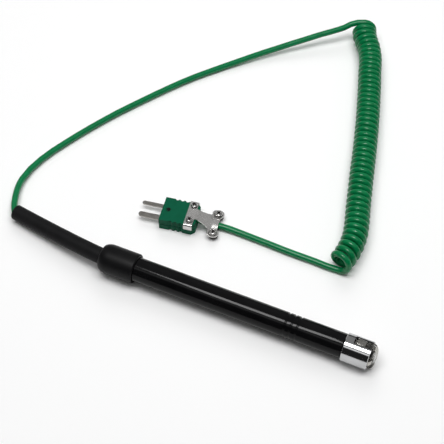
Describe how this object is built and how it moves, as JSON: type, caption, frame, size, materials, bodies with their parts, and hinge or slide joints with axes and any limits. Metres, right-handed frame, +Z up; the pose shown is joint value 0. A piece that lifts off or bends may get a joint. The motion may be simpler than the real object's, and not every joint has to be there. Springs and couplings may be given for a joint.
{
  "type": "surface temperature probe",
  "caption": "Hand-held surface temperature probe: bowed ribbon measuring head, round tube handle, bend boot, and a curly lead to a flat-blade thermocouple plug.",
  "frame": {"origin": "on the table under the middle of the probe's bounding box, its lead and plug not counted", "axes": "+X along the probe towards its measuring tip, +Y across towards the side the lead and plug lie on, +Z up from the table"},
  "size_m": [0.2225, 0.2274, 0.0163],
  "materials": {
    "chrome": "mirror plated",
    "steel": "nickel plated, satin",
    "ribbon_metal": "rolled strip, bright",
    "brass": "machined",
    "handle_plastic": "gloss black",
    "collar_plastic": "satin black",
    "boot_rubber": "matt black",
    "core_plastic": "matt, heat resistant",
    "cable_green": "green jacket, slight gloss",
    "lead_white": "insulated lead",
    "plug_green": "moulded dark green"
  },
  "bodies": {
    "root": {"tip_ferrule": "chrome", "head_core": "core_plastic", "sensing_ribbon": "ribbon_metal", "cross_ribbon": "ribbon_metal", "ribbon_tab_upper": "steel", "ribbon_tab_lower": "steel", "head_bush": "brass", "head_lead_positive": "steel", "head_lead_negative": "steel", "handle_tube": "handle_plastic", "crimp_positive": "brass", "crimp_negative": "brass", "lead_positive": "lead_white", "lead_negative": "lead_white", "cable_anchor": "collar_plastic", "rear_collar": "collar_plastic", "bend_boot": "boot_rubber", "inner_cable": "cable_green", "cord_upper": "cable_green", "cord_coil": "cable_green", "cord_lower": "cable_green", "plug_base": "plug_green", "plug_cover": "plug_green", "blade_positive": "steel", "blade_negative": "steel", "terminal_screw_positive": "brass", "terminal_screw_negative": "brass", "plug_lead_positive": "steel", "plug_lead_negative": "steel", "clamp_plate": "steel", "clamp_saddle": "steel", "cover_screw_far": "steel", "cover_screw_near": "steel", "clamp_screw_far": "steel", "clamp_screw_near": "steel"}
  },
  "joints": []
}
